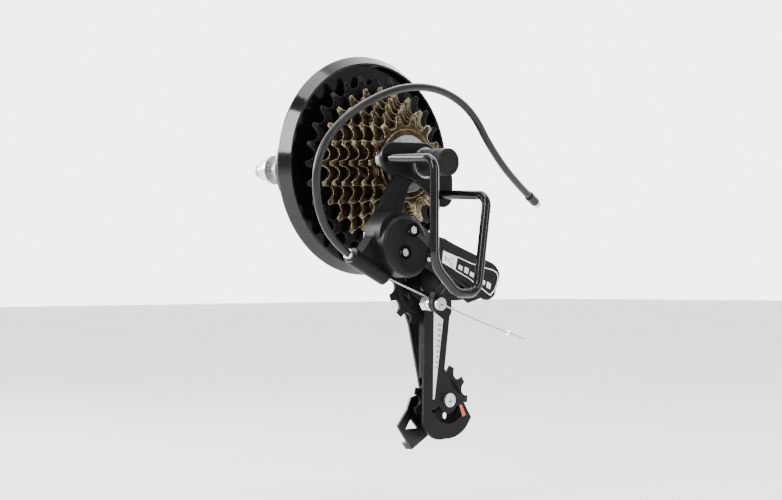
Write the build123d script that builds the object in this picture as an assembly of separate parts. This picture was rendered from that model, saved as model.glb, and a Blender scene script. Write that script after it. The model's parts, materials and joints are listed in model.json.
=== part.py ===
from build123d import *
import math
import os

# Rear hub of a bicycle with its seven-speed freewheel, rear derailleur and derailleur guard.
# Millimetres. The axle line is the Y axis and the hub's centre is the origin.
# +X is the front of the bicycle, +Y its left side and +Z is up, so the drive side is at -Y.
# "out" is a distance from the hub's centre towards the drive side, so out = -y.

# ---- driving dimensions ------------------------------------------------------------------
LOCKNUT_OUT = 67.5          # half of the 135 mm between the two locknut faces
DROPOUT_GAP = 6.0           # room for a frame's dropout plate
AXLE_R = 4.9
AXLE_LEFT_OUT = -91.0
AXLE_RIGHT_OUT = 98.0
AXLE_BORE_R = 5.1
BRACKET_THICK = 3.5
GUARD_PLATE_THICK = 3.0

CHAIN_PITCH = 12.7
ROLLER_SEAT_R = 3.97
SPROCKET_TEETH = (28, 24, 22, 20, 18, 16, 14)
FIRST_SPROCKET_OUT = 31.5
SPROCKET_STEP = 5.0
SPROCKET_THICK = 2.0
LARGE_SEAT_R = 26.0         # freewheel body under the four large sprockets
SMALL_SEAT_R = 22.5         # freewheel body under the three small sprockets
TOOTH_ADDENDUM = 2.5

BALL_R = 3.175
BALL_CIRCLE_R = 9.6
HUB_BALLS_OUT = (24.5, -41.5)
HUB_BALL_COUNT = 9
SMALL_BALL_R = 1.588
SMALL_BALL_CIRCLE_R = 17.45
SMALL_BALLS_OUT = (34.5, 57.5)
SMALL_BALL_COUNT = 26

FLANGES = ((14.0, 29.0, 0.0), (-35.0, 27.0, 10.0))  # out, spoke circle radius, turn in degrees
FLANGE_RIM = 4.0            # metal outside the spoke circle
SPOKE_HOLE_R = 1.3
SPOKES_PER_SIDE = 18
FLANGE_THICK = 3.0

B_PIVOT = (-34.0, -47.0)    # x, z of the pivot between the bracket and the derailleur
P_PIVOT = (21.0, -75.5)     # x, z of the pivot between the derailleur and its cage
GUIDE_AXIS = (13.5, -80.5)
TENSION_AXIS = (34.5, -155.0)
CAGE_MID_OUT = 56.5         # the derailleur stands on the 16-tooth sprocket
CAGE_GAP = 10.4
PULLEY_TEETH = 11
PULLEY_ADDENDUM = 0.8

LINK_PITCH = 42.0
LINK_SPACING = 14.0
LINK_SLOPE = 35.0           # fall of the links towards the front, in degrees
LINK_SLANT = 25.0           # fall of their swing towards the wheel, in degrees
REST_SWING = -15.0          # from mid travel, in degrees
B_OUTER_PIN = Vector(-6.0, -94.0, -54.5)

ROD_R = 3.0
HOUSING_R = 2.5
WIRE_R = 0.6
RUNNING = 0.05              # radial clearance of a running fit

os.makedirs("parts", exist_ok=True)
LOW = (Align.CENTER, Align.CENTER, Align.MIN)


# ---- helpers -----------------------------------------------------------------------------
def disc(radius, out_a, out_b, x=0.0, z=0.0):
    """Cylinder along Y between two distances outboard, centred on x, z."""
    return Plane.XZ.offset(out_a) * Pos(x, z, 0) * Cylinder(radius, out_b - out_a, align=LOW)


def tube(radius, bore, out_a, out_b, x=0.0, z=0.0):
    """Hollow cylinder along Y."""
    return disc(radius, out_a, out_b, x, z) - disc(bore, out_a - 1, out_b + 1, x, z)


def plate(outline, out_a, out_b):
    """Flat plate from an outline drawn in x and z."""
    return extrude(Plane.XZ.offset(out_a) * outline, amount=out_b - out_a)


def turned(*profile):
    """Solid of revolution about the axle line from (radius, out) points."""
    points = [(radius, -out) for radius, out in profile]
    return revolve(make_face(Polyline(*points, close=True)), Axis.Y)


def hexagon(across_flats, out_a, out_b, x=0.0, z=0.0):
    """Hexagonal prism along Y."""
    outline = Pos(x, z) * RegularPolygon(across_flats / 2, 6, major_radius=False)
    return plate(outline, out_a, out_b)


def rounded(solid, radius, out):
    """Fillet the round edges that lie at one distance outboard."""
    edges = [e for e in solid.edges().filter_by(GeomType.CIRCLE) if abs(e.center().Y + out) < 0.01]
    return fillet(edges, radius)


def hull_of(*circles):
    """Outline drawn tight around circles given as (x, z, radius)."""
    arcs = []
    for x, z, radius in circles:
        arcs += (Pos(x, z) * Circle(radius)).edges()
    return make_hull(arcs)


def groove(centre_r, out, ball_r):
    """Ring-shaped race for a row of balls."""
    return Plane.XZ.offset(out) * Torus(centre_r, ball_r + 0.04)


def ball_row(count, centre_r, out, ball_r):
    """Row of balls around the axle line."""
    balls = []
    for i in range(count):
        angle = 2 * math.pi * i / count
        centre = Pos(centre_r * math.cos(angle), -out, centre_r * math.sin(angle))
        balls.append(centre * Sphere(ball_r))
    return balls


def between(start, end, radius):
    """Straight round bar between two points."""
    start, end = Vector(*start), Vector(*end)
    return Plane(origin=start, z_dir=end - start) * Cylinder(radius, (end - start).length, align=LOW)


def save(name, *shapes):
    """Write one node; every separate solid in it stays separate."""
    solids = [solid for shape in shapes for solid in shape.solids()]
    export_step(Compound(solids), f"parts/{name}.step")


# ---- toothed wheels ----------------------------------------------------------------------
def pitch_radius(teeth):
    return CHAIN_PITCH / (2 * math.sin(math.pi / teeth))


def tooth_outline(teeth, addendum, flank_angle=66.0):
    """Chain-wheel outline: a roller seat arc, then straight flanks up to a narrow tip."""
    centre_r = pitch_radius(teeth)
    tip_r = centre_r + addendum
    flank = math.radians(flank_angle)
    seat_in = centre_r - ROLLER_SEAT_R * math.cos(flank)
    seat_side = ROLLER_SEAT_R * math.sin(flank)
    rise = (tip_r - seat_in) / math.sin(flank)
    tip_side = seat_side + rise * math.cos(flank)
    edges = []
    corners = []
    for i in range(teeth):
        turn = math.radians(360.0 * (i + 0.5) / teeth)

        def at(radial, side):
            x = radial * math.cos(turn) - side * math.sin(turn)
            z = radial * math.sin(turn) + side * math.cos(turn)
            return (x, z)

        seat = (at(seat_in, -seat_side), at(centre_r - ROLLER_SEAT_R, 0), at(seat_in, seat_side))
        tips = (at(tip_r, -tip_side), at(tip_r, tip_side))
        edges += [Line(tips[0], seat[0]), ThreePointArc(*seat), Line(seat[2], tips[1])]
        corners.append(tips)
    for i in range(teeth):
        edges.append(Line(corners[i][1], corners[(i + 1) % teeth][0]))
    return make_face(edges)


def bevelled_blank(tip_r, root_r, thick, out):
    """Disc whose rim thins towards the tooth tips."""
    half, edge = thick / 2, 0.45
    return turned((0, out - half), (root_r + 1, out - half), (tip_r + 0.4, out - edge),
                  (tip_r + 0.4, out + edge), (root_r + 1, out + half), (0, out + half))


def sprocket(teeth, out):
    """One sprocket of the stack, with splines to the freewheel body and lightening holes."""
    seat_r = LARGE_SEAT_R if teeth >= 20 else SMALL_SEAT_R
    root_r = pitch_radius(teeth) - ROLLER_SEAT_R
    half = SPROCKET_THICK / 2
    body = plate(tooth_outline(teeth, TOOTH_ADDENDUM), out - half, out + half)
    body &= bevelled_blank(root_r + ROLLER_SEAT_R + TOOTH_ADDENDUM, root_r, SPROCKET_THICK, out)
    body -= disc(seat_r, out - 5, out + 5)
    web = root_r - seat_r
    if web > 7:
        hole_r = min(3.6, web / 2 - 2.2)
        holes = Plane.XZ.offset(out - 5) * PolarLocations((seat_r + root_r) / 2, 9)
        body -= holes * Cylinder(hole_r, 10, align=LOW)
    return body


def pulley(axis):
    """Jockey wheel with eleven teeth, a thicker hub and a ring of holes."""
    x, z = axis
    centre_r = pitch_radius(PULLEY_TEETH)
    root_r = centre_r - ROLLER_SEAT_R
    mid = CAGE_MID_OUT
    rim = Pos(x, 0, z) * bevelled_blank(centre_r + PULLEY_ADDENDUM, root_r, 2.4, mid)
    wheel = plate(Pos(x, z) * tooth_outline(PULLEY_TEETH, PULLEY_ADDENDUM, 70), mid - 1.2, mid + 1.2) & rim
    wheel += tube(root_r - 1.5, root_r - 3.5, mid - 2.2, mid + 2.2, x, z)
    wheel += disc(6.8, mid - 4.2, mid + 4.2, x, z)
    holes = Plane.XZ.offset(mid - 5) * Pos(x, z, 0) * PolarLocations(11.0, 5)
    wheel -= holes * Cylinder(2.6, 10, align=LOW)
    return wheel - disc(3.9 + RUNNING, mid - 9, mid + 9, x, z)


# ---- axle group: axle, cones, nuts, hanger bracket and guard -------------------------------
bracket_out = LOCKNUT_OUT + DROPOUT_GAP
guard_out = bracket_out + BRACKET_THICK
washer_out = guard_out + GUARD_PLATE_THICK
nut_out = washer_out + 2.0
left_nut_out = -(LOCKNUT_OUT + DROPOUT_GAP + 2.0)


def make_axle_group():
    axle = disc(AXLE_R, AXLE_LEFT_OUT, AXLE_RIGHT_OUT)
    save("axle", chamfer(axle.edges().filter_by(GeomType.CIRCLE), 0.8))

    right_cone = turned((AXLE_R, 19.5), (6.6, 19.5), (7.2, 23), (9.0, 27.5), (9.0, 33.5), (AXLE_R, 33.5))
    left_cone = turned((AXLE_R, -36.5), (6.6, -36.5), (7.2, -40), (9.0, -44.5), (9.0, -52), (AXLE_R, -52))
    save("axle_cones", right_cone - groove(BALL_CIRCLE_R, HUB_BALLS_OUT[0], BALL_R),
         left_cone - groove(BALL_CIRCLE_R, HUB_BALLS_OUT[1], BALL_R))
    save("axle_spacers", tube(7.8, AXLE_R, 33.5, 62), tube(7.8, AXLE_R, -61.5, -52))

    locknuts = []
    for side, inner in ((1, 62.0), (-1, 61.5)):
        near, far = sorted((side * inner, side * LOCKNUT_OUT))
        nut = hexagon(15, near, far) & disc(8.5, near, far)
        nut -= disc(AXLE_R, near - 1, far + 1)
        locknuts.append(nut - disc(5.3, side * LOCKNUT_OUT - 0.5, side * LOCKNUT_OUT + 0.5))
    save("axle_locknuts", *locknuts)

    save("axle_washers", tube(10, AXLE_R, washer_out, nut_out), tube(10, AXLE_R, left_nut_out, left_nut_out + 2))
    nuts = []
    for out_a, out_b in ((nut_out, nut_out + 9), (left_nut_out - 9, left_nut_out)):
        nuts.append((hexagon(14, out_a, out_b) & disc(7.9, out_a, out_b)) - disc(AXLE_R, out_a - 1, out_b + 1))
    save("axle_nuts", *nuts)

    cap = rounded(disc(8.9, nut_out + 0.1, 104), 1.2, 104)
    save("axle_nut_cap", cap - disc(8.0, nut_out - 1, 100.5))


def make_hanger_bracket():
    x, z = B_PIVOT
    head = hull_of((0, 0, 13.5), (-23, 1, 9.0))
    arm = hull_of((-17, -12.9, 7.0), (x, z, 12.0))
    link = hull_of((-17, -12.9, 7.0), (-8, 0, 9.0))
    bracket = plate(head + arm + link, bracket_out, guard_out)
    bracket = chamfer(bracket.edges().filter_by(Plane.XZ), 0.4)
    bracket += disc(9.0, 71.0, bracket_out + 0.5, x, z)
    bracket -= disc(AXLE_BORE_R, 60, 90)
    bracket -= disc(5.0, 60, 90, x, z)
    bracket -= disc(3.1, 60, 90, -24, 2)
    save("hanger_bracket", bracket)

    bolt = disc(3.1, LOCKNUT_OUT, guard_out, -24, 2) + disc(4.6, 64.5, LOCKNUT_OUT, -24, 2)
    bolt -= hexagon(3.0, 60, 66, -24, 2)
    save("hanger_bolt", bolt)

    pivot = disc(4.95, 70.8, 87.0, x, z) + disc(7.5, 67.8, 70.8, x, z)
    save("b_pivot_bolt", pivot - hexagon(6, 60, 70, x, z))


GUARD_PLANE_Y = -122.0
GUARD_ROUTE = [
    ((-30.3, -washer_out, 2.5), None),
    ((-29.1, GUARD_PLANE_Y, 1.2), 8.0),
    ((-29.5, GUARD_PLANE_Y, -66.0), 20.0),
    ((-10.6, GUARD_PLANE_Y, -84.0), 14.0),
    ((7.2, GUARD_PLANE_Y, -84.0), 9.0),
    ((16.5, GUARD_PLANE_Y, -21.5), 8.0),
    ((15.0, -washer_out, -20.3), None),
]


def make_guard():
    lobes = hull_of((0, 0, 13.0), (-26, 3, 10.0)) + hull_of((0, 0, 13.0), (17, -10, 8.0), (17, -20.5, 8.0))
    guard_plate = chamfer(plate(lobes, guard_out, washer_out).edges().filter_by(Plane.XZ), 0.4)
    guard_plate -= disc(AXLE_BORE_R, 60, 90)
    save("guard_plate", guard_plate)

    corners = [point for point, radius in GUARD_ROUTE]
    radii = [radius for point, radius in GUARD_ROUTE if radius]
    route = FilletPolyline(*corners, radius=radii)
    rod = sweep(Plane(origin=route @ 0, z_dir=route % 0) * Circle(ROD_R), path=route)
    rod -= disc(60, 50, washer_out)
    save("guard_rod", rod)


# ---- hub --------------------------------------------------------------------------------
def make_hub():
    shell = turned((10, 16), (11.5, 20), (14.6, 20), (14.6, 29.3), (17.4, 29.3), (17.4, 19.5), (19.5, 19.5),
                   (19.5, 15.5), (15.5, 9), (15.5, -30), (19.0, -34), (19.0, -46.5), (14.6, -46.5),
                   (14.6, -37), (11.5, -37), (10, -33))
    for out, circle_r, turn in FLANGES:
        flange = disc(circle_r + FLANGE_RIM, out - FLANGE_THICK / 2, out + FLANGE_THICK / 2)
        flange = chamfer(flange.edges().filter_by(GeomType.CIRCLE), 0.6)
        flange -= disc(12, out - 5, out + 5)
        holes = Plane.XZ.offset(out - 5) * PolarLocations(circle_r, SPOKES_PER_SIDE, start_angle=turn)
        shell += flange - holes * Cylinder(SPOKE_HOLE_R, 10, align=LOW)
    save("hub_shell", shell)

    right_cup = turned((14.6, 20), (14.6, 29), (12.9, 29), (12.6, 25), (10.2, 20.5), (10.2, 20))
    left_cup = turned((14.6, -37), (14.6, -46), (12.9, -46), (12.6, -42), (10.2, -37.5), (10.2, -37))
    save("bearing_cups", right_cup - groove(BALL_CIRCLE_R, HUB_BALLS_OUT[0], BALL_R),
         left_cup - groove(BALL_CIRCLE_R, HUB_BALLS_OUT[1], BALL_R))
    save("hub_dust_caps", tube(14.4, 9.5, 29.3, 30.2), tube(18.5, 9.5, -47.6, -46.5))
    rows = [ball_row(HUB_BALL_COUNT, BALL_CIRCLE_R, out, BALL_R) for out in HUB_BALLS_OUT]
    save("hub_balls", *rows[0], *rows[1])


def make_spoke_protector():
    dish = turned((20, 19.6), (66, 19.6), (68.5, 18.6), (72.4, 18.6), (72.4, 19.6), (67.6, 26.4), (66.4, 26.4),
                  (66.4, 25.6), (70.4, 20.6), (69, 20.0), (66.4, 21.1), (20, 21.1))
    for i in range(6):
        turn = 60 * i + 35
        clip = Pos(67.2, -22.3, 0) * Box(2.4, 6.4, 5)
        dish += Rot(0, turn, 0) * clip
    save("spoke_protector", dish)


# ---- freewheel --------------------------------------------------------------------------
PAWL_OUT = (43.0, 49.0)
PAWL_PIVOT_R = 14.6
RATCHET_TEETH = 24
PAWL_BAR = [(1.4, 0.0), (0.6, -1.3), (-6.6, 0.7), (-7.3, 3.4), (-6.4, 3.75), (-0.6, 1.4)]


def make_freewheel_inner():
    inner = turned((17.4, 21.3), (17.4, 30.6), (11.0, 30.6), (11.0, 61.2), (13.4, 61.2), (13.4, 64.4),
                   (15.2, 64.4), (15.2, 61.2), (16.2, 61.2), (16.2, 32.2), (18.2, 32.2), (18.2, 30.2),
                   (21.0, 30.2), (21.0, 21.3))
    splined_bore = Circle(12.6) - PolarLocations(12.6, 20) * Rectangle(1.6, 1.7)
    inner -= plate(splined_bore, 29, 63)
    near, far = PAWL_OUT
    for turn in (0, 180):
        pocket = Rot(0, turn, 0) * (disc(1.9, near - 0.3, far + 0.3, 0, PAWL_PIVOT_R)
                                    + Pos(-5.0, -(near + far) / 2, 15.8) * Box(11, far - near + 0.6, 4.8))
        inner -= pocket
    inner -= tube(16.6, 15.6, 45.3, 46.7)
    for out in SMALL_BALLS_OUT:
        inner -= groove(SMALL_BALL_CIRCLE_R, out, SMALL_BALL_R)
    save("freewheel_inner_body", inner)

    cone = tube(18.5, 15.2, 61.4, 64.4)
    for angle in (0, 180):
        x = 16.9 * math.cos(math.radians(angle))
        cone -= disc(0.9, 63, 70, x, 0)
    save("freewheel_locking_cone", cone)

    for name, turn in (("pawl_upper", 0), ("pawl_lower", 180)):
        heel = disc(1.6, near, far, 0, PAWL_PIVOT_R)
        bar = plate(Pos(0, PAWL_PIVOT_R) * make_face(Polyline(*PAWL_BAR, close=True)), near, far)
        pawl = (heel + bar) - tube(30, 18.55, near - 1, far + 1)
        pawl -= disc(16.6, 45.3, 46.7)
        save(name, Rot(0, turn, 0) * pawl)
    save("pawl_spring", tube(16.45, 15.75, 45.5, 46.5) - Pos(8, -46, -8) * Box(12, 4, 9))


def make_freewheel_outer():
    outer = turned((18.7, 30.6), (LARGE_SEAT_R, 30.6), (LARGE_SEAT_R, 48.9), (SMALL_SEAT_R, 48.9),
                   (SMALL_SEAT_R, 63.6), (18.8, 63.6), (18.8, 61.0), (18.7, 61.0))
    for out in SMALL_BALLS_OUT:
        outer -= groove(SMALL_BALL_CIRCLE_R, out, SMALL_BALL_R)
    near, far = PAWL_OUT
    notch = make_face(Polyline((17.5, -1.9), (17.5, 2.2), (20.6, 2.2), (18.6, -1.9), close=True))
    notches = Plane.XZ.offset(near - 0.5) * PolarLocations(0, RATCHET_TEETH)
    outer -= notches * extrude(notch, far - near + 1)
    save("freewheel_outer_body", outer)
    rows = [ball_row(SMALL_BALL_COUNT, SMALL_BALL_CIRCLE_R, out, SMALL_BALL_R) for out in SMALL_BALLS_OUT]
    save("freewheel_balls", *rows[0], *rows[1])

    spacers = []
    for i, teeth in enumerate(SPROCKET_TEETH):
        out = FIRST_SPROCKET_OUT + SPROCKET_STEP * i
        save(f"sprocket_{teeth}t", sprocket(teeth, out))
        if i < len(SPROCKET_TEETH) - 1:
            seat_r = LARGE_SEAT_R if i < 3 else SMALL_SEAT_R
            start = out + SPROCKET_THICK / 2 if i != 3 else 48.9
            spacers.append(tube(seat_r + 2.4, seat_r, start, out + SPROCKET_STEP - SPROCKET_THICK / 2))
    save("sprocket_spacers", *spacers)


# ---- derailleur: parallelogram frame -------------------------------------------------------
def along(angle):
    return math.cos(math.radians(angle)), math.sin(math.radians(angle))


slope_cos, slope_sin = along(LINK_SLOPE)
slant_cos, slant_sin = along(LINK_SLANT)
link_mid = Vector(slope_cos, 0, -slope_sin)
drop = Vector(0, slant_cos, -slant_sin)
inward = (drop - link_mid * drop.dot(link_mid)).normalized()
pin_dir = link_mid.cross(inward)
rest_cos, rest_sin = along(REST_SWING)
link_dir = link_mid * rest_cos + inward * rest_sin
B_INNER_PIN = B_OUTER_PIN + inward * LINK_SPACING
P_OUTER_PIN = B_OUTER_PIN + link_dir * LINK_PITCH
P_INNER_PIN = B_INNER_PIN + link_dir * LINK_PITCH

KNUCKLE_B = Plane(origin=B_OUTER_PIN, x_dir=link_mid, z_dir=pin_dir)
KNUCKLE_P = Plane(origin=P_OUTER_PIN, x_dir=link_mid, z_dir=pin_dir)
OUTER_LINK = Plane(origin=B_OUTER_PIN, x_dir=link_dir, z_dir=pin_dir)
INNER_LINK = Plane(origin=B_INNER_PIN, x_dir=link_dir, z_dir=pin_dir)

PIN_R = 2.0
EAR_LEVELS = ((-7.4, -4.8), (1.0, 3.6))       # knuckle ears, as heights along the link pins
CHEEK_LEVELS = ((-9.6, -7.8), (4.0, 5.8))     # outer link's cheeks, outside the ears
INNER_LINK_LEVELS = (-4.4, 0.6)               # inner link, between the ears
EARS_LOW, EARS_HIGH = EAR_LEVELS[0][0], EAR_LEVELS[1][1]
CHEEKS_LOW, CHEEKS_HIGH = CHEEK_LEVELS[0][0], CHEEK_LEVELS[1][1]


def slab(frame, outline, low, high):
    """Plate square to the link pins, between two heights along them."""
    return extrude(frame.offset(low) * outline, amount=high - low)


def pin(frame, x, y, low, high, radius=PIN_R):
    """Round pin along a frame's Z axis."""
    return frame * Pos(x, y, low) * Cylinder(radius, high - low, align=LOW)


def pin_hole(frame, x, y, radius=PIN_R):
    return pin(frame, x, y, -20, 20, radius)


def link_pins(frame):
    """A knuckle's long pin through the outer link's cheeks and its short pin between its own ears."""
    return pin(frame, 0, 0, CHEEKS_LOW - 0.8, CHEEKS_HIGH + 0.8), pin(frame, 0, LINK_SPACING, EARS_LOW, EARS_HIGH)


STOP_START = Vector(-66.0, -83.0, -59.5)      # mouth of the cable stop, where the housing enters
STOP_END = Vector(-37.0, -83.0, -73.5)        # where the bare wire leaves it
SCREW_PLACES = ((-27.5, -99.0, -43.8), (-34.5, -99.0, -58.0))
SCREW_AXIS = Vector(-0.36, -0.93, 0.05).normalized()


def make_b_knuckle():
    x, z = B_PIVOT
    barrel = disc(15.5, 77.6, 93, x, z)
    cover = plate(hull_of((-31.5, -52.5, 18.0), (-28, -58, 16.0)), 86, 99.5)
    cover = fillet(cover.edges().filter_by(Plane.XZ).group_by(Axis.Y)[0], 4.0)
    skirt = plate(hull_of((-34, -49, 16.0), (-30, -56, 15.0)), 80, 88)
    block = slab(KNUCKLE_B, Pos(-14, 7) * Rectangle(20, 23), EARS_LOW, EARS_HIGH)
    body = barrel + cover + skirt + block
    arm_dir = (STOP_END - STOP_START).normalized()
    socket = between(STOP_START + arm_dir * 1.0, STOP_END, 5.6)
    web = plate(make_face(Polyline((-62, -61), (-48, -45), (-30, -56), (-28, -70), (-38, -76), close=True)), 79, 87)
    body += socket + web
    body -= KNUCKLE_B * Pos(24.4, 2, 0) * Box(60, 60, 24.0)
    body -= disc(60, 60, 77.6, x, z)
    for low, high in EAR_LEVELS:
        ear = hull_of((0, 0, 4.6), (0, LINK_SPACING, 4.6), (-8, 0, 4), (-8, 14, 4))
        body += slab(KNUCKLE_B, ear, low, high)
    body -= disc(5.0, 70, 88, x, z)
    body -= tube(11.4, 6.6, 70, 87, x, z)
    body -= pin_hole(KNUCKLE_B, 0, 0)
    body -= pin_hole(KNUCKLE_B, 0, LINK_SPACING)
    body -= between(STOP_START - arm_dir * 2, STOP_START + arm_dir * 12, 3.4)
    body -= between(STOP_START, STOP_END + arm_dir * 5, 1.2)
    for place in SCREW_PLACES:
        place = Vector(*place)
        body -= between(place - SCREW_AXIS * 1.8, place + SCREW_AXIS * 12, 3.5)
        body -= between(place - SCREW_AXIS * 12, place, 1.6)
    save("b_knuckle", body)

    screws = []
    for place in SCREW_PLACES:
        place = Vector(*place)
        head = between(place - SCREW_AXIS * 1.8, place + SCREW_AXIS * 0.9, 2.7)
        shank = between(place - SCREW_AXIS * 11.5, place - SCREW_AXIS * 1.8, 1.6)
        slot = Plane(origin=place + SCREW_AXIS * 0.9, z_dir=SCREW_AXIS)
        cross = slot * (Box(3.2, 0.7, 2.0) + Box(0.7, 3.2, 2.0))
        screws.append(head + shank - cross)
    save("limit_screws", *screws)

    save("b_link_pins", *link_pins(KNUCKLE_B))


def spring_coil(frame, radius, wire_r, low, turns, pitch):
    """Round-wire coil about a frame's Z axis."""
    path = frame.offset(low) * Helix(pitch, turns * pitch, radius)
    return sweep(Plane(origin=path @ 0, z_dir=path % 0) * Circle(wire_r), path=path)


def make_springs():
    b_plane = Plane(origin=(B_PIVOT[0], 0, B_PIVOT[1]), x_dir=(1, 0, 0), z_dir=(0, -1, 0))
    p_plane = Plane(origin=(P_PIVOT[0], 0, P_PIVOT[1]), x_dir=(1, 0, 0), z_dir=(0, -1, 0))
    save("b_spring", spring_coil(b_plane, 9.0, 0.9, 79.2, 3, 2.1))
    save("p_spring", spring_coil(p_plane, 7.2, 0.8, 66.2, 5, 1.9))
    save("parallelogram_spring", spring_coil(KNUCKLE_B, 3.4, 0.5, -4.1, 3.5, 1.3))


# ---- derailleur: links --------------------------------------------------------------------
CLAMP = Vector(1.0, -84.0, -91.0)


def make_outer_link():
    end = LINK_PITCH
    cheek = hull_of((0, 0, 4.8), (end, 0, 4.8), (4, -4.5, 2.4), (end, -4.5, 2.4))
    low_cheek, high_cheek = CHEEK_LEVELS
    link = slab(OUTER_LINK, cheek, *low_cheek) + slab(OUTER_LINK, cheek, *high_cheek)
    face = Plane(origin=OUTER_LINK.from_local_coords(Vector(0, -5.0, 0)), x_dir=link_dir,
                 z_dir=-OUTER_LINK.y_dir)
    outline = hull_of((4.0, 1.2, 3.8), (5.0, -13.0, 4.8), (end - 0.2, 1.0, 7.8), (end - 2.5, -12.3, 9.0))
    web = extrude(face * outline, amount=2.6)
    web = fillet(web.edges().filter_by(lambda e: abs((e.center() - face.origin).dot(face.z_dir) - 2.6) < 0.01), 1.0)
    link += web
    boss = slab(OUTER_LINK, Pos(19, -2.0) * Rectangle(9, 6), CHEEKS_LOW - 2.2, low_cheek[1])
    link += fillet(boss.edges(), 0.4)
    root = OUTER_LINK.from_local_coords(Vector(19, -1.5, CHEEKS_LOW - 0.6))
    seat = CLAMP + Vector(0, -6.0, 6.5)
    lug = plate(hull_of((CLAMP.X, CLAMP.Z, 5.2), (CLAMP.X, CLAMP.Z + 6.5, 3.0)), 87.6, 92.2)
    arm = between(root, seat, 2.6) + Pos(*root) * Sphere(2.6) + lug
    link += arm
    for x in (0, end):
        link -= pin_hole(OUTER_LINK, x, 0, PIN_R + RUNNING)
    link -= disc(2.5, 80, 95, CLAMP.X, CLAMP.Z)
    save("outer_link", link)

    bolt = disc(2.5, 78.0, 92.2, CLAMP.X, CLAMP.Z) + disc(4.2, 92.2, 95.0, CLAMP.X, CLAMP.Z)
    bolt -= hexagon(2.6, 94.0, 96, CLAMP.X, CLAMP.Z)
    save("cable_clamp_bolt", bolt)
    washer = tube(5.0, 2.5, 85.2, 87.6, CLAMP.X, CLAMP.Z)
    save("cable_clamp_washer", washer)
    save("cable_clamp_nut", hexagon(8, 78.7, 82.8, CLAMP.X, CLAMP.Z) - disc(2.5, 70, 95, CLAMP.X, CLAMP.Z))


def make_inner_link():
    end = LINK_PITCH
    bar = slab(INNER_LINK, hull_of((0, 0, 3.9), (end, 0, 3.9)), *INNER_LINK_LEVELS)
    waist = slab(INNER_LINK, Pos(end / 2, 4.4) * Rectangle(end - 14, 5), -7, 7)
    waist += slab(INNER_LINK, Pos(end / 2, -4.4) * Rectangle(end - 14, 5), -7, 7)
    bar -= waist
    for x in (0, end):
        bar -= pin_hole(INNER_LINK, x, 0, PIN_R + RUNNING)
    save("inner_link", bar)


def make_p_knuckle():
    x, z = P_PIVOT
    body = disc(11.0, 64.4, 82.0, x, z)
    for low, high in EAR_LEVELS:
        ear = hull_of((0, 0, 4.4), (0, LINK_SPACING, 4.4), (6.6, 2, 2.2), (6.6, 18, 2.2))
        body += slab(KNUCKLE_P, ear, low, high)
    body += slab(KNUCKLE_P, hull_of((6.8, 2, 2.2), (6.8, 20, 2.2)), EARS_LOW, EARS_HIGH)
    body += slab(KNUCKLE_P, hull_of((5, 20, 3.5), (2, 26, 4.5), (-2, 26, 4.5)), -4, 6)
    body -= slab(KNUCKLE_P, Pos(3, 25.5) * Rectangle(24, 13), EARS_LOW - 1, -4.4)
    body -= disc(4.0 + RUNNING, 60, 90, x, z)
    body -= tube(8.8, 5.4, 60, 77.5, x, z)
    body -= disc(6.2, 78.9, 95, x, z)
    body -= pin_hole(KNUCKLE_P, 0, 0)
    body -= pin_hole(KNUCKLE_P, 0, LINK_SPACING)
    save("p_knuckle", body)
    save("p_link_pins", *link_pins(KNUCKLE_P))


# ---- cage --------------------------------------------------------------------------------
OUTER_PLATE = (CAGE_MID_OUT + CAGE_GAP / 2, CAGE_MID_OUT + CAGE_GAP / 2 + 2.0)
INNER_PLATE = (CAGE_MID_OUT - CAGE_GAP / 2 - 1.8, CAGE_MID_OUT - CAGE_GAP / 2)


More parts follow.
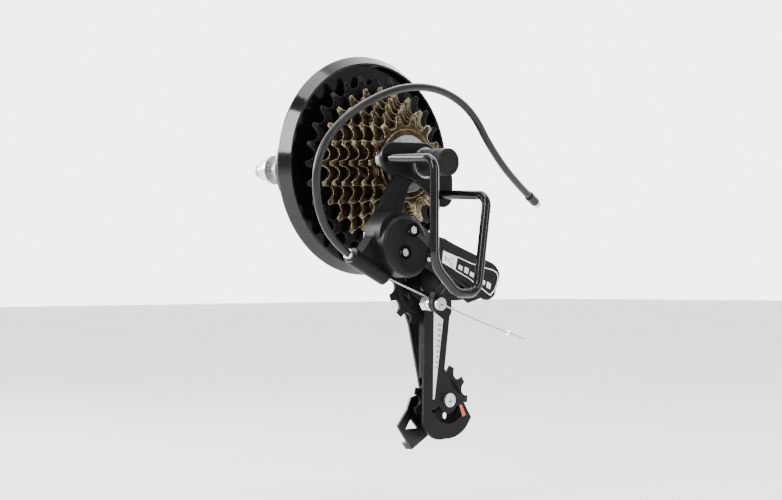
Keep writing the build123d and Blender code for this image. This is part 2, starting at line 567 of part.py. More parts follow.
def make_cage():
    gx, gz = GUIDE_AXIS
    tx, tz = TENSION_AXIS
    px, pz = P_PIVOT
    near, far = OUTER_PLATE
    body = make_face([Line((14.4, -99), (13.2, -165)), ThreePointArc((13.2, -165), (18.6, -177.6), (31.5, -180.5)),
                      ThreePointArc((31.5, -180.5), (42.1, -179), (50.8, -173.4)), Line((50.8, -173.4), (55.4, -167)),
                      Line((55.4, -167), (45.6, -152)), Line((45.6, -152), (37, -146)), Line((37, -146), (31.8, -134)),
                      Line((31.8, -134), (36.4, -100)), Line((36.4, -100), (38.2, -97.4)),
                      Line((38.2, -97.4), (38.2, -87)), Line((38.2, -87), (33.0, -70)), Line((33.0, -70), (14.4, -70)),
                      Line((14.4, -70), (14.4, -99))])
    head = hull_of((px, pz, 12.2), (gx, gz, 9.0))
    outer = plate(body + head, near, far)
    wedge = make_face(Polyline((0, 0), (30, -12), (20, -30), (-14, -30), (-30, -13), close=True))
    crescent = (Circle(15.5) - Circle(8.5)) & wedge
    outer -= plate(Pos(tx, tz) * crescent, near - 1, far + 1)
    outer += Pos(14.7, -(near - 1.5), -120) * Rot(0, 1.1, 0) * Box(1.6, 3.4, 40)
    outer -= disc(2.5, near - 1, far + 1, gx, gz)
    outer -= disc(2.5, near - 1, far + 1, tx, tz)
    outer -= disc(4.0, near - 1, far + 1, px, pz)
    save("cage_outer_plate", outer)

    near, far = INNER_PLATE
    spine = hull_of((gx, gz, 11.0), (gx + 6, gz - 22, 8.0)) + hull_of((gx + 6, gz - 22, 8.0), (tx, tz, 11.0))
    foot = make_face(Polyline((23, -150), (13.0, -153), (9.4, -161.5), (1.5, -171.4), (13.7, -187.2), (29.6, -177.6),
                              (44, -160), (40, -148), close=True))
    window = make_face(Polyline((8.2, -173.6), (19.0, -173.3), (12.7, -166.8), close=True))
    inner = plate((spine + foot) - window, near, far)
    inner += plate(make_face(Polyline((10.2, -183.0), (13.7, -187.2), (29.6, -177.6), (26.6, -175.4), close=True)),
                   near - 4.5, near)
    inner -= disc(2.5, near - 1, far + 1, gx, gz)
    inner -= disc(2.5, near - 1, far + 1, tx, tz)
    save("cage_inner_plate", inner)

    pivot = disc(4.0, OUTER_PLATE[0], 81.8, px, pz) + disc(5.9, 79.0, 81.8, px, pz)
    save("p_pivot_bolt", pivot - hexagon(5, 80.0, 83, px, pz))

    guide_bolt = disc(2.5, INNER_PLATE[0], OUTER_PLATE[1], gx, gz)
    guide_bolt += disc(4.5, INNER_PLATE[0] - 2.4, INNER_PLATE[0], gx, gz)
    guide_bolt -= hexagon(3, 40, INNER_PLATE[0] - 1.0, gx, gz)
    tension_bolt = disc(2.5, INNER_PLATE[0], OUTER_PLATE[1], tx, tz)
    tension_bolt += disc(4.6, OUTER_PLATE[1], OUTER_PLATE[1] + 2.4, tx, tz)
    tension_bolt -= hexagon(3, OUTER_PLATE[1] + 1.0, 80, tx, tz)
    save("pulley_bolts", guide_bolt, tension_bolt)

    bushings, caps = [], []
    inside, outside = INNER_PLATE[1], OUTER_PLATE[0]
    for x, z in (GUIDE_AXIS, TENSION_AXIS):
        bushings.append(tube(3.9, 2.5, inside, outside, x, z))
        caps += [tube(7.6, 3.9, inside, inside + 0.7, x, z), tube(7.6, 3.9, outside - 0.7, outside, x, z)]
    save("pulley_bushings", *bushings)
    save("pulley_dust_caps", *caps)
    save("guide_pulley", pulley(GUIDE_AXIS))
    save("tension_pulley", pulley(TENSION_AXIS))


# ---- cable -------------------------------------------------------------------------------
HOUSING_ROUTE = [
    (-64.0, -83.0, -60.5),
    (-82.0, -84.0, -51.0),
    (-97.0, -87.0, -27.0),
    (-98.0, -89.5, 2.0),
    (-81.5, -91.5, 24.0),
    (-55.0, -93.5, 39.5),
    (-25.0, -94.0, 48.5),
    (6.5, -92.0, 47.0),
    (34.0, -89.0, 34.5),
    (54.0, -85.0, 11.0),
    (81.0, -77.5, -9.0),
    (109.0, -68.5, -22.5),
]
WIRE_START = 8.0            # from the housing stop's mouth to where the bare wire begins
WIRE_ROUTE = [
    (1.0, -84.0, -87.6),
    (38.0, -86.5, -101.8),
    (64.0, -89.5, -110.5),
    (76.0, -90.8, -115.0),
]


def widest_radii(points):
    """Arc radius for each corner of a cord's route, as large as its two runs allow."""
    radii = []
    for before, corner, after in zip(points, points[1:], points[2:]):
        run_in = Vector(*corner) - Vector(*before)
        run_out = Vector(*after) - Vector(*corner)
        half_turn = math.radians(run_in.get_angle(run_out)) / 2
        radii.append(0.45 * min(run_in.length, run_out.length) / math.tan(half_turn))
    return radii


def make_cable():
    route = FilletPolyline(*HOUSING_ROUTE, radius=widest_radii(HOUSING_ROUTE))
    housing = sweep(Plane(origin=route @ 0, z_dir=route % 0) * Circle(HOUSING_R), path=route)
    save("cable_housing", housing)

    start, start_dir = route @ 0, route % 0
    seat = start - start_dir * 3.0
    rear = between(seat, start + start_dir * 4.5, 3.2) - between(start, start + start_dir * 9, HOUSING_R)
    rear -= between(seat - start_dir * 2, start + start_dir, 1.2)
    save("rear_ferrule", rear)

    end, end_dir = route @ 1, route % 1
    front = between(end - end_dir * 7, end + end_dir * 2.5, 3.2) - between(end - end_dir * 9, end, HOUSING_R)
    front -= between(end - end_dir, end + end_dir * 5, 1.0)
    save("front_ferrule", front)
    head = between(end + end_dir * 2.6, end + end_dir * 7.2, 2.2)
    save("wire_head", head + between(end + end_dir * 0.3, end + end_dir * 2.6, 0.8))

    stop_dir = (STOP_END - STOP_START).normalized()
    wire_points = [tuple(STOP_START + stop_dir * WIRE_START), tuple(STOP_END), *WIRE_ROUTE]
    wire_route = FilletPolyline(*wire_points, radius=widest_radii(wire_points))
    wire = sweep(Plane(origin=wire_route @ 0, z_dir=wire_route % 0) * Circle(WIRE_R), path=wire_route)
    save("inner_wire", wire)
    tip, tip_dir = wire_route @ 1, wire_route % 1
    crimp = between(tip - tip_dir * 12, tip + tip_dir * 1.5, 1.5) - between(tip - tip_dir * 15, tip, WIRE_R + 0.1)
    save("wire_crimp", crimp)


make_axle_group()
make_hanger_bracket()
make_guard()
make_hub()
make_spoke_protector()
make_freewheel_inner()
make_freewheel_outer()
make_b_knuckle()
make_springs()
make_outer_link()
make_inner_link()
make_p_knuckle()
make_cage()
make_cable()
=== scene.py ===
import json
import math

import bpy
import bmesh
from mathutils import Matrix, Vector


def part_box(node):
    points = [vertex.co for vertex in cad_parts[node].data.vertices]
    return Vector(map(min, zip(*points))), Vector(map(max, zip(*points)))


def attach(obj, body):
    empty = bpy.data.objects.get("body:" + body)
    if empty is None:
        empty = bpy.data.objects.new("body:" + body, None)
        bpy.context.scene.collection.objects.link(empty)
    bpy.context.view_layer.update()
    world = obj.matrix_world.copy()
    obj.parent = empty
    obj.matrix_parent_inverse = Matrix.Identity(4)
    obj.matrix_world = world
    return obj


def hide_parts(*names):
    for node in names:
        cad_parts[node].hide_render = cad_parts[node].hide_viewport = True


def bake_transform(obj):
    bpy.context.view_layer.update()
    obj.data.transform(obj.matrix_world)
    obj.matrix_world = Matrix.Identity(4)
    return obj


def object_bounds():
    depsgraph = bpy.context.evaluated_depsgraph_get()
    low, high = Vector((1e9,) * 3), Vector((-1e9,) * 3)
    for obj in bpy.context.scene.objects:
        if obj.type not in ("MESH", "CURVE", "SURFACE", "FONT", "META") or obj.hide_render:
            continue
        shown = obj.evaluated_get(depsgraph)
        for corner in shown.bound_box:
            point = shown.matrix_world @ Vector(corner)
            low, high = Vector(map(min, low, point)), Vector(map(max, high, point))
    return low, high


# Rear hub with freewheel, derailleur and guard. Metres, in the CAD model's frame:
# +Y runs along the axle to the left side of the bicycle, +X to its front, +Z is up.
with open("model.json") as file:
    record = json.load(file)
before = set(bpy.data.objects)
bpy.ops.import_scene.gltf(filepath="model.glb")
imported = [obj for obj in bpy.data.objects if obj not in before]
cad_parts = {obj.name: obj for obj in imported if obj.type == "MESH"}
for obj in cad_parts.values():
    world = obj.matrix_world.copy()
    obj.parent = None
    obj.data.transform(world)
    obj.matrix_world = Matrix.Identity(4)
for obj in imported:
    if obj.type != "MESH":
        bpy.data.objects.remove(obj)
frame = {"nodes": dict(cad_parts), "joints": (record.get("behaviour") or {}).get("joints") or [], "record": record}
nodes = frame["nodes"]
joints = {joint["name"]: joint for joint in frame["joints"]}
cad_box = [list(corner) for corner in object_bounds()]
MM = 0.001


# ---- camera ---------------------------------------------------------------------------------
CAMERA_PLACE = Vector((-1.19177, -1.41244, -0.06691))
CAMERA_AZIMUTH = math.radians(-41.113)
CAMERA_ELEVATION = math.radians(-0.3445)
CAMERA_ROLL = math.radians(-0.2658)
CAMERA_LENS = 127.29
SENSOR_WIDTH = 36.0
CAMERA_CLIP = (0.05, 30.0)


def make_camera():
    data = bpy.data.cameras.new("camera")
    data.lens = CAMERA_LENS
    data.sensor_width = SENSOR_WIDTH
    data.clip_start, data.clip_end = CAMERA_CLIP
    camera = bpy.data.objects.new("camera", data)
    bpy.context.scene.collection.objects.link(camera)
    level = math.cos(CAMERA_ELEVATION)
    back = Vector((
        math.sin(CAMERA_AZIMUTH) * level,
        -math.cos(CAMERA_AZIMUTH) * level,
        math.sin(CAMERA_ELEVATION),
    ))
    right = Vector((math.cos(CAMERA_AZIMUTH), math.sin(CAMERA_AZIMUTH), 0.0))
    up = back.cross(right)
    c, s = math.cos(CAMERA_ROLL), math.sin(CAMERA_ROLL)
    axes = Matrix((right * c + up * s, up * c - right * s, back)).transposed()
    camera.matrix_world = Matrix.Translation(CAMERA_PLACE) @ axes.to_4x4()
    bpy.context.scene.camera = camera


# ---- cords ----------------------------------------------------------------------------------
HOUSING_ROUTE = [
    (-0.0640, -0.0830, -0.0605),
    (-0.0820, -0.0840, -0.0510),
    (-0.0970, -0.0870, -0.0270),
    (-0.0980, -0.0895, 0.0020),
    (-0.0815, -0.0915, 0.0240),
    (-0.0550, -0.0935, 0.0395),
    (-0.0250, -0.0940, 0.0485),
    (0.0065, -0.0920, 0.0470),
    (0.0340, -0.0890, 0.0345),
    (0.0540, -0.0850, 0.0110),
    (0.0810, -0.0775, -0.0090),
    (0.1090, -0.0685, -0.0225),
]
WIRE_ROUTE = [
    (-0.0587948, -0.0830, -0.0629783),
    (-0.0370, -0.0830, -0.0735),
    (0.0010, -0.0840, -0.0876),
    (0.0380, -0.0865, -0.1018),
    (0.0640, -0.0895, -0.1105),
    (0.0760, -0.0908, -0.1150),
]
HOUSING_DIAMETER = 0.005
WIRE_DIAMETER = 0.0012
CURVE_RESOLUTION = 24
SLEEVE_BEVEL_RESOLUTION = 8
WIRE_STEP = 0.0006
STRAND_SIDES = 8
OUTER_STRANDS = 6
WIRE_LAY_LENGTH = 0.008
STRAND_SHARP_ANGLE = 60


def nurbs(name, points):
    curve = bpy.data.curves.new(name, "CURVE")
    curve.dimensions = "3D"
    curve.resolution_u = CURVE_RESOLUTION
    spline = curve.splines.new("NURBS")
    spline.points.add(len(points) - 1)
    for point, place in zip(spline.points, points):
        point.co = (*place, 1.0)
    spline.order_u = 3
    spline.use_endpoint_u = True
    return curve


def line_points(name, points):
    """Points along a route's NURBS spline."""
    curve = nurbs(name, points)
    holder = bpy.data.objects.new(name, curve)
    bpy.context.scene.collection.objects.link(holder)
    mesh = bpy.data.meshes.new_from_object(holder)
    places = [v.co.copy() for v in mesh.vertices]
    bpy.data.objects.remove(holder)
    bpy.data.meshes.remove(mesh)
    return places


def travelled(places):
    """Distance along a line of points, at each point."""
    total = [0.0]
    for a, b in zip(places, places[1:]):
        total.append(total[-1] + (b - a).length)
    return total


def resampled(places, step):
    """The same line with even steps."""
    total = travelled(places)
    count = max(2, round(total[-1] / step))
    result, at = [], 0
    for i in range(count + 1):
        goal = total[-1] * i / count
        while at < len(total) - 2 and total[at + 1] < goal:
            at += 1
        share = (goal - total[at]) / (total[at + 1] - total[at])
        result.append(places[at].lerp(places[at + 1], share))
    return result


def frames_along(places):
    """A side and an up direction at each point, turning as little as they can."""
    side = Vector((0, 0, 1)).cross(places[1] - places[0]).normalized()
    result = []
    for i, place in enumerate(places):
        ahead = places[min(i + 1, len(places) - 1)] - places[max(i - 1, 0)]
        ahead.normalize()
        side = (side - ahead * side.dot(ahead)).normalized()
        result.append((side, ahead.cross(side)))
    return result


def tube_rings(made, places, frames, radius, centre_r=0.0, phase=0.0, lay_length=1.0):
    """Adds a closed tube to a bmesh; with centre_r it winds round the line as a strand."""
    around = STRAND_SIDES
    rings = []
    for place, (side, up), run in zip(places, frames, travelled(places)):
        wind = phase + 2 * math.pi * run / lay_length
        out = side * math.cos(wind) + up * math.sin(wind)
        centre = place + out * centre_r
        ring = []
        for i in range(around):
            turn = 2 * math.pi * i / around
            outward = side * math.cos(turn) + up * math.sin(turn)
            ring.append(made.verts.new(centre + outward * radius))
        rings.append(ring)
    for low, high in zip(rings, rings[1:]):
        for i in range(around):
            j = (i + 1) % around
            made.faces.new((low[i], low[j], high[j], high[i]))
    made.faces.new(rings[0])
    made.faces.new(list(reversed(rings[-1])))


def make_housing(made):
    curve = nurbs("housing", HOUSING_ROUTE)
    curve.bevel_depth = HOUSING_DIAMETER / 2
    curve.bevel_resolution = SLEEVE_BEVEL_RESOLUTION
    curve.use_fill_caps = True
    curve.materials.append(made["housing_vinyl"])
    piece = bpy.data.objects.new("housing_sleeve", curve)
    bpy.context.scene.collection.objects.link(piece)
    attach(piece, "b_knuckle_body")
    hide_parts("cable_housing")


def make_wire(made):
    """Seven strands: a core and six wound round it."""
    places = resampled(line_points("wire_line", WIRE_ROUTE), WIRE_STEP)
    frames = frames_along(places)
    strand_r = WIRE_DIAMETER / 6  # three strands lie across the wire
    cable = bmesh.new()
    tube_rings(cable, places, frames, strand_r)
    for k in range(OUTER_STRANDS):
        phase = k * math.pi / 3
        tube_rings(cable, places, frames, strand_r, 2 * strand_r, phase, WIRE_LAY_LENGTH)
    bmesh.ops.recalc_face_normals(cable, faces=cable.faces)
    mesh = bpy.data.meshes.new("wire_strands")
    cable.to_mesh(mesh)
    cable.free()
    smooth(mesh, STRAND_SHARP_ANGLE)
    piece = piece_from("wire_strands", mesh, made["wire_steel"], None)
    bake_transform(piece)
    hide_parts("inner_wire")


# ---- node helpers ---------------------------------------------------------------------------
BEVEL_SAMPLES = 6


class Shader:
    """A material being built, with short ways to add and join its nodes."""

    def __init__(self, name, **settings):
        self.material = bpy.data.materials.new(name)
        self.material.use_nodes = True
        self.tree = self.material.node_tree
        self.bsdf = self.tree.nodes["Principled BSDF"]
        for socket, value in settings.items():
            self.bsdf.inputs[socket.replace("_", " ")].default_value = value
        self.coords = self.tree.nodes.new("ShaderNodeTexCoord").outputs["Object"]

    def put(self, value, socket):
        """Links an output to a socket, or sets the socket to a plain value."""
        if isinstance(value, bpy.types.NodeSocket):
            self.tree.links.new(value, socket)
        else:
            socket.default_value = value

    def math(self, operation, a, b=0.0):
        node = self.tree.nodes.new("ShaderNodeMath")
        node.operation = operation
        self.put(a, node.inputs[0])
        self.put(b, node.inputs[1])
        return node.outputs[0]

    def noise(self, scale, detail=4.0, rough=0.6, stretch=None):
        node = self.tree.nodes.new("ShaderNodeTexNoise")
        node.inputs["Scale"].default_value = scale
        node.inputs["Detail"].default_value = detail
        node.inputs["Roughness"].default_value = rough
        self.put(self.stretched(stretch) if stretch else self.coords, node.inputs["Vector"])
        return node.outputs["Fac"]

    def stretched(self, factors):
        node = self.tree.nodes.new("ShaderNodeMapping")
        node.inputs["Scale"].default_value = factors
        self.put(self.coords, node.inputs["Vector"])
        return node.outputs["Vector"]

    def remap(self, value, low, high, to_low=0.0, to_high=1.0):
        node = self.tree.nodes.new("ShaderNodeMapRange")
        self.put(value, node.inputs["Value"])
        limits = {"From Min": low, "From Max": high, "To Min": to_low, "To Max": to_high}
        for name, number in limits.items():
            node.inputs[name].default_value = number
        return node.outputs["Result"]

    def mix(self, factor, a, b):
        node = self.tree.nodes.new("ShaderNodeMix")
        node.data_type = "RGBA"
        self.put(factor, node.inputs["Factor"])
        self.put(a, node.inputs["A"])
        self.put(b, node.inputs["B"])
        return node.outputs["Result"]

    def radius(self):
        """Distance from the axle line."""
        split = self.tree.nodes.new("ShaderNodeSeparateXYZ")
        self.put(self.coords, split.inputs[0])
        squares = [self.math("MULTIPLY", split.outputs[i], split.outputs[i]) for i in (0, 2)]
        return self.math("SQRT", self.math("ADD", *squares))

    def soft_normal(self, size):
        """The surface's normal with its edges rounded."""
        node = self.tree.nodes.new("ShaderNodeBevel")
        node.samples = BEVEL_SAMPLES
        node.inputs["Radius"].default_value = size
        return node.outputs["Normal"]

    def edges(self, size, low=0.03, high=0.22):
        """Mask that is 1 on the object's edges."""
        geometry = self.tree.nodes.new("ShaderNodeNewGeometry")
        dot = self.tree.nodes.new("ShaderNodeVectorMath")
        dot.operation = "DOT_PRODUCT"
        self.put(self.soft_normal(size), dot.inputs[0])
        self.put(geometry.outputs["Normal"], dot.inputs[1])
        return self.remap(self.math("SUBTRACT", 1.0, dot.outputs["Value"]), low, high)

    def bump(self, height, distance, strength=1.0, rounding=0.0003):
        node = self.tree.nodes.new("ShaderNodeBump")
        node.inputs["Strength"].default_value = strength
        node.inputs["Distance"].default_value = distance
        self.put(height, node.inputs["Height"])
        self.put(self.soft_normal(rounding), node.inputs["Normal"])
        self.put(node.outputs["Normal"], self.bsdf.inputs["Normal"])

    def colour(self, value):
        self.put(value, self.bsdf.inputs["Base Color"])

    def roughness(self, value):
        self.put(value, self.bsdf.inputs["Roughness"])


def grey(level, warmth=0.0):
    """Colour of an even grey, a little redder than blue with warmth."""
    return (level * (1 + warmth), level, level * (1 - warmth), 1.0)


# ---- materials ------------------------------------------------------------------------------
CLOUD = (0.35, 0.7)  # the part of a coarse noise's range that becomes 0 to 1
FINE = (0.3, 0.7)  # the same for a fine one
THREAD_PITCH = 1.0 * MM
RESIN_GRAIN_DEPTH = 0.00005
TOOTH_WEAR_AND_HIGHLIGHT_BAND = (5.0 * MM, 0.5 * MM)  # how far inside the tips the bright band of chain wear and painted highlight starts and is full
TURNING_MARKS = 2600.0  # radians per metre of radius
GOLD = (0.115, 0.082, 0.036, 1.0)
BROWN = (0.014, 0.010, 0.006, 1.0)
# bright colours for the sprockets' edges and teeth: chain wear and painted highlight together
GOLD_WEAR_AND_HIGHLIGHT = (0.88, 0.74, 0.47, 1.0)
DARK_WEAR_AND_HIGHLIGHT = (0.12, 0.11, 0.10, 1.0)
OIL_SPOT = (0.03, 0.02, 0.012, 1.0)
MARK_RED = (0.62, 0.09, 0.03, 1.0)


def metal(name, colour, dark, rough, brushing=(1, 1, 1), stain=0.35):
    """Bare metal: fine brushing, stains that darken it, brighter worn edges."""
    s = Shader(name, Metallic=1.0)
    stains = s.remap(s.noise(110.0, detail=6.0, rough=0.65), 0.42, 0.68)
    base = s.mix(s.math("MULTIPLY", stains, stain), colour, dark)
    bright = tuple(min(1.0, c * 1.45) for c in colour[:3]) + (1.0,)
    bright_edges = s.math("MULTIPLY", s.edges(0.0004), s.remap(s.noise(420.0), 0.35, 0.6))
    s.colour(s.mix(bright_edges, base, bright))
    fine = s.noise(900.0, detail=3.0, rough=0.6, stretch=brushing)
    uneven = s.math("ADD", fine, s.math("MULTIPLY", stains, 0.5))
    s.roughness(s.remap(uneven, 0.3, 1.1, rough - 0.08, rough + 0.16))
    s.bump(fine, 0.00002, 0.5)
    return s.material


def threaded(name):
    """Oiled steel with a rolled thread of 1 mm pitch."""
    s = Shader(name, Metallic=1.0)
    split = s.tree.nodes.new("ShaderNodeSeparateXYZ")
    s.put(s.coords, split.inputs[0])
    angle = s.math("ARCTAN2", split.outputs[2], split.outputs[0])
    along = s.math("MULTIPLY", split.outputs[1], 2 * math.pi / THREAD_PITCH)
    thread = s.math("SINE", s.math("ADD", along, angle))
    s.colour(s.mix(s.remap(thread, -1.0, 0.6), grey(0.09, 0.06), grey(0.5)))
    s.roughness(s.remap(s.noise(500.0), *FINE, 0.25, 0.45))
    s.bump(thread, 0.0003, 0.8, 0.0002)
    return s.material


def moulded(name, level, rough, grain=2600.0, edge_highlight=0.05, dust=0.008, gloss=0.13):
    """Moulded black resin: fine grain, a painted highlight that pales every edge, and a little dust."""
    s = Shader(name, Specular_IOR_Level=gloss)
    cloud = s.remap(s.noise(60.0, detail=5.0), *CLOUD)
    base = s.mix(cloud, grey(level), grey(level * 1.5))
    dusty = s.math("MULTIPLY", s.remap(s.noise(700.0, detail=8.0, rough=0.75), 0.58, 0.75), 0.5)
    base = s.mix(dusty, base, grey(level + dust, 0.03))
    # painted highlight: the edges mask mixes a paler grey into every edge
    s.colour(s.mix(s.math("MULTIPLY", s.edges(0.0006), 0.8), base, grey(level + edge_highlight)))
    s.roughness(s.remap(cloud, 0.0, 1.0, rough, rough + 0.12))
    s.bump(s.noise(grain, detail=2.0, rough=0.7), RESIN_GRAIN_DEPTH, 0.7, 0.0005)
    return s.material


def painted(name, level, rough, ripple=0.00002):
    """Black paint over steel: slight orange peel, chips of bare metal on a few edges."""
    s = Shader(name, Specular_IOR_Level=0.16)
    patches = s.remap(s.noise(330.0, detail=6.0, rough=0.7), 0.56, 0.62)
    chips = s.math("MULTIPLY", s.edges(0.0005, 0.06, 0.3), patches)
    cloud = s.remap(s.noise(90.0, detail=4.0), *CLOUD)
    paint = s.mix(cloud, grey(level), grey(level * 1.6))
    s.colour(s.mix(chips, paint, grey(0.32)))
    scuffs = s.remap(s.noise(260.0, detail=7.0, rough=0.7, stretch=(1, 1, 6)), 0.5, 0.75, 0.0, 0.16)
    s.roughness(s.math("ADD", scuffs, rough))
    s.bump(s.noise(700.0, detail=1.0, rough=0.5), ripple, 0.4, 0.0006)
    return s.material


def rod_enamel(name):
    """Thick gloss black enamel with fine scuffs along the rod."""
    s = Shader(name, Specular_IOR_Level=0.34)
    cloud = s.remap(s.noise(90.0, detail=4.0), *CLOUD)
    s.colour(s.mix(cloud, grey(0.003), grey(0.006)))
    scuffs = s.noise(300.0, detail=6.0, rough=0.7, stretch=(1, 1, 4))
    s.roughness(s.remap(scuffs, 0.45, 0.75, 0.07, 0.24))
    s.bump(s.noise(260.0, detail=1.0, rough=0.5), 0.00001, 0.3, 0.0004)
    return s.material


def protector_plastic(name):
    """Gloss black sheet plastic: turning marks round the axle and fine scratches."""
    s = Shader(name, Specular_IOR_Level=0.4)
    rings = s.math("SINE", s.math("MULTIPLY", s.radius(), TURNING_MARKS))
    haze = s.remap(s.noise(45.0, detail=6.0, rough=0.6), *CLOUD)
    s.colour(s.mix(haze, grey(0.002), grey(0.005)))
    scratch = s.noise(240.0, detail=8.0, rough=0.8, stretch=(1, 4, 9))
    scratch = s.remap(scratch, 0.58, 0.75, 0.0, 0.16)
    s.roughness(s.math("ADD", scratch, s.remap(haze, 0.0, 1.0, 0.07, 0.14)))
    waves = s.math("ADD", s.math("MULTIPLY", rings, 0.2), s.noise(60.0, detail=1.0))
    s.bump(waves, 0.00003, 0.3, 0.0006)
    return s.material


def sprocket_steel(name, tip, brown, gold, wear_and_highlight):
    """Oiled sprocket: clouds of brown and gold; bright on its edges and tooth tips, partly chain wear and partly
    painted highlight.
    """
    s = Shader(name, Metallic=0.9)
    cloud = s.remap(s.noise(120.0, detail=7.0, rough=0.6), 0.34, 0.72)
    body = s.mix(cloud, brown, gold)
    spots = s.remap(s.noise(620.0, detail=5.0, rough=0.7), 0.6, 0.7)
    body = s.mix(s.math("MULTIPLY", spots, 0.7), body, OIL_SPOT)
    teeth = s.remap(s.radius(), *(tip - inside for inside in TOOTH_WEAR_AND_HIGHLIGHT_BAND))
    # painted highlight mixed with chain wear: every edge and the tooth band get a bright colour
    bright_edges = s.math("MULTIPLY", s.edges(0.0005, 0.02, 0.2), s.remap(s.noise(300.0), 0.3, 0.55))
    tooth_patches = s.remap(s.noise(350.0, detail=6.0), 0.45, 0.62, 0.0, 0.55)
    wear_and_highlight_mask = s.math("MAXIMUM", bright_edges, s.math("MULTIPLY", teeth, tooth_patches))
    s.colour(s.mix(wear_and_highlight_mask, body, wear_and_highlight))
    s.roughness(s.remap(s.noise(480.0, detail=5.0), *FINE, 0.2, 0.42))
    s.bump(s.noise(1500.0, detail=3.0, rough=0.6), 0.00004, 0.6, 0.0003)
    return s.material


def wound_steel(name, level):
    """Cable strands and spring wire: bright crowns, dark between."""
    s = Shader(name, Metallic=1.0)
    crowns = s.remap(s.noise(1300.0, detail=4.0), 0.35, 0.65)
    s.colour(s.mix(crowns, grey(level * 0.65), grey(level)))
    s.roughness(s.remap(s.noise(900.0), *FINE, 0.18, 0.34))
    return s.material


def sleeve_vinyl(name):
    """Satin vinyl of a cable housing, faintly ribbed by the flat wire wound under it."""
    s = Shader(name, Specular_IOR_Level=0.28)
    cloud = s.remap(s.noise(80.0, detail=5.0), *CLOUD)
    s.colour(s.mix(cloud, grey(0.004), grey(0.009)))
    s.roughness(s.remap(s.noise(300.0, detail=5.0), *FINE, 0.26, 0.4))
    s.bump(s.noise(900.0, detail=3.0, rough=0.6), 0.00003, 0.5, 0.0004)
    return s.material


def printed(name, colour, rough=0.4):
    """Printed film: slightly uneven ink."""
    s = Shader(name)
    ink = s.remap(s.noise(1200.0, detail=5.0, rough=0.7), 0.35, 0.65)
    s.colour(s.mix(ink, tuple(c * 0.86 for c in colour[:3]) + (1.0,), colour))
    s.roughness(s.remap(s.noise(500.0), *FINE, rough - 0.08, rough + 0.08))
    return s.material


def floor_paint(name):
    """Matt pale paint, very slightly uneven."""
    s = Shader(name, Specular_IOR_Level=0.2)
    s.colour(s.mix(s.remap(s.noise(4.0, detail=3.0), *FINE), grey(0.80), grey(0.83)))
    s.roughness(s.remap(s.noise(9.0), *FINE, 0.55, 0.7))
    return s.material


def make_materials():
    return {
        "threaded_steel": threaded("threaded_steel"),
        "bearing_steel": metal("bearing_steel", grey(0.72), grey(0.4), 0.16, stain=0.2),
        "plain_steel": metal("plain_steel", grey(0.42, 0.02), grey(0.12, 0.08), 0.32),
        "zinc_steel": metal("zinc_steel", grey(0.68), grey(0.35, 0.03), 0.27, stain=0.3),
        "spring_steel": wound_steel("spring_steel", 0.36),
        "wire_steel": wound_steel("wire_steel", 0.55),
        "bright_screws": metal("bright_screws", grey(0.85), grey(0.5), 0.2, stain=0.2),
        "bright_ferrule": metal("bright_ferrule", grey(0.76), grey(0.4), 0.24, (1, 8, 1)),
        "dark_ferrule": moulded("dark_ferrule", 0.015, 0.28),
        "cap_plastic": moulded("cap_plastic", 0.006, 0.4, grain=1800.0, edge_highlight=0.03),
        "black_paint": painted("black_paint", 0.003, 0.28),
        "gloss_black_paint": rod_enamel("gloss_black_paint"),
        "gloss_black_plastic": protector_plastic("gloss_black_plastic"),
        "hub_alloy": metal("hub_alloy", grey(0.09), grey(0.03), 0.3, (1, 12, 1), stain=0.5),
        "knuckle_resin": moulded("knuckle_resin", 0.0035, 0.42, edge_highlight=0.02),
        "link_resin": moulded("link_resin", 0.0035, 0.38, edge_highlight=0.02),
        "cage_black": painted("cage_black", 0.0035, 0.32, ripple=0.00003),
        "cage_steel": metal("cage_steel", grey(0.035, 0.04), grey(0.015, 0.1), 0.36),
        "pulley_resin": moulded("pulley_resin", 0.0035, 0.42, edge_highlight=0.02),
        "housing_vinyl": sleeve_vinyl("housing_vinyl"),
        "label_white": printed("label_white", grey(0.93)),
        "label_grey": printed("label_grey", grey(0.30)),
        "label_silver": printed("label_silver", grey(0.8), 0.3),
        "label_red": printed("label_red", MARK_RED),
        # near-black material for the painted shadow round the limit screws
        "painted_shadow_black": moulded("painted_shadow_black", 0.0012, 0.8, edge_highlight=0.002, dust=0.001, gloss=0.05),
    }


def axle_radius(node):
    """Largest distance of a node from the axle line."""
    return max(math.hypot(v.co.x, v.co.z) for v in nodes[node].data.vertices)


def paint_nodes(made):
    """Gives each CAD node the material of its slot; each sprocket gets one of its own."""
    for part in frame["record"]["subparts"]:
        node, slot = part["node"], part["material_slot"]
        if slot in ("bronze_steel", "black_steel"):
            tip = axle_radius(node)
            if slot == "black_steel":
                dark, light = grey(0.006), grey(0.016, 0.1)
                material = sprocket_steel(node, tip, dark, light, DARK_WEAR_AND_HIGHLIGHT)
            else:
                material = sprocket_steel(node, tip, BROWN, GOLD, GOLD_WEAR_AND_HIGHLIGHT)
        else:
            material = made[slot]
        mesh = nodes[node].data
        mesh.materials.clear()
        mesh.materials.append(material)


# ---- mesh helpers ---------------------------------------------------------------------------
LATHE_SHARP_ANGLE = 28.0
ARC_STEPS = 6


def piece_from(name, mesh, material, body):
    """New object from a mesh, attached to a body when one is given."""
    mesh.materials.append(material)
    piece = bpy.data.objects.new(name, mesh)
    bpy.context.scene.collection.objects.link(piece)
    if body:
        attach(piece, body)
    return piece


def smooth(mesh, angle):
    """Smooth shading that keeps edges sharper than the angle, in degrees."""
    for face in mesh.polygons:
        face.use_smooth = True
    mesh.set_sharp_from_angle(angle=math.radians(angle))


